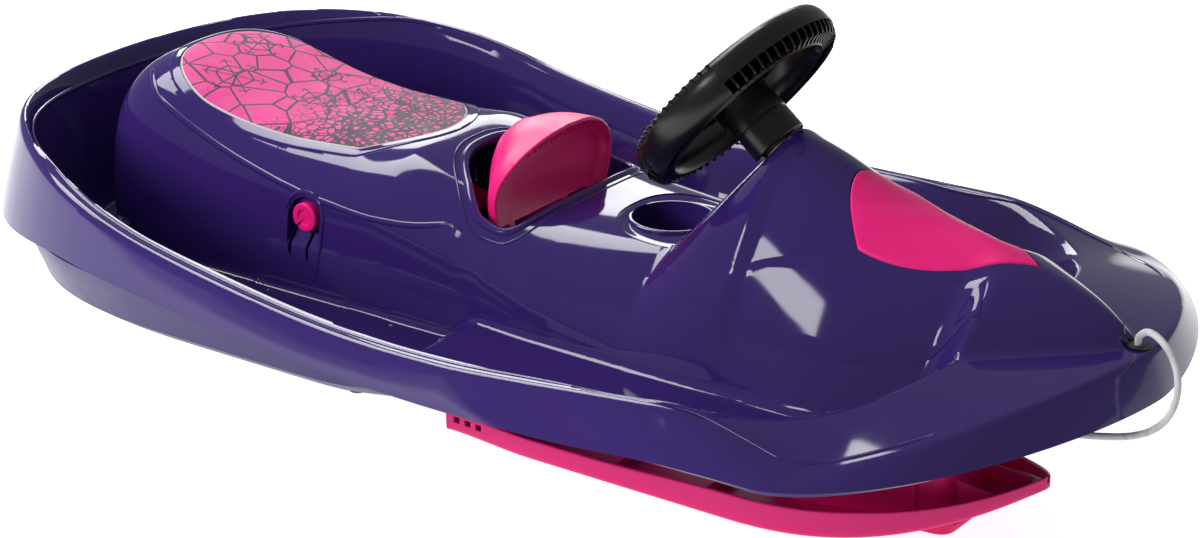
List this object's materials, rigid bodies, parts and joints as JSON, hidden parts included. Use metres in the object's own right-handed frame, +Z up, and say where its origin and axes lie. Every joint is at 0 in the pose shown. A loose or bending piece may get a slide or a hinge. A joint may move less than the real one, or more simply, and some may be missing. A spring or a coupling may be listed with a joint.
{
  "type": "steering sled",
  "caption": "Child's plastic steering sled with a wheel that turns a front ski, a hooded hand brake with claws, a seat pad, foot wells, a cup well and a tow cord.",
  "frame": {"origin": "on the ground, under the middle of the hull's length and width", "axes": "+X forwards to the nose, +Y to the rider's left, +Z up"},
  "size_m": [1.1903, 0.62, 0.4178],
  "materials": {
    "hull": "gloss",
    "pan": "satin",
    "pad": "printed foam sheet",
    "pink": "gloss",
    "black": "satin",
    "steel": "zinc plated",
    "nylon": "natural nylon",
    "cord": "braided"
  },
  "bodies": {
    "hull": {"upper_hull": "hull", "lower_hull": "pan", "seat_pad": "pad", "bonnet_insert": "pink", "axle_cap_left": "pink", "axle_cap_right": "pink", "column_bracket": "black", "steering_carrier": "black", "cord_guide": "black", "brake_axle": "steel", "hull_screw_1": "steel", "hull_screw_2": "steel", "hull_screw_3": "steel", "hull_screw_4": "steel", "hull_screw_5": "steel", "hull_screw_6": "steel", "carrier_screw_1": "steel", "carrier_screw_2": "steel", "carrier_screw_3": "steel", "carrier_screw_4": "steel", "bracket_screw_1": "steel", "bracket_screw_2": "steel", "upper_bush": "nylon", "lower_bush": "nylon", "tow_cord": "cord", "deck_knot": "cord", "carrier_knot": "cord"},
    "steering": {"steering_wheel": "black", "hub_cap": "black", "wheel_screw": "steel", "steering_column": "steel", "steering_fork": "steel"},
    "ski": {"steering_ski": "pink", "ski_spindle": "steel", "spindle_arm": "steel", "spindle_washer": "steel", "spindle_nut": "steel"},
    "brake": {"brake_lever": "pink", "brake_claw": "steel", "claw_rivet_left": "steel", "claw_rivet_right": "steel", "return_spring": "steel"}
  },
  "joints": [
    {"name": "wheel_turn", "type": "hinge", "parent": "hull", "child": "steering", "pos_m": [0.162, 0, 0.3353], "axis": [-0.7771, 0, 0.6293], "range_deg": [-22.5, 22.5]},
    {"name": "ski_yaw", "type": "hinge", "parent": "hull", "child": "ski", "pos_m": [0.345, 0, 0], "axis": [0, 0, 1], "range_deg": [-18.5, 18.5]},
    {"name": "brake_lift", "type": "hinge", "parent": "hull", "child": "brake", "pos_m": [-0.213, 0, 0.176], "axis": [0, -1, 0], "range_deg": [0, 25], "stiffness_Nm_per_rad": 0.6, "springref_deg": -34.38}
  ],
  "couplings": [
    {"joint": "ski_yaw", "follows": "wheel_turn", "ratio": 0.8}
  ]
}
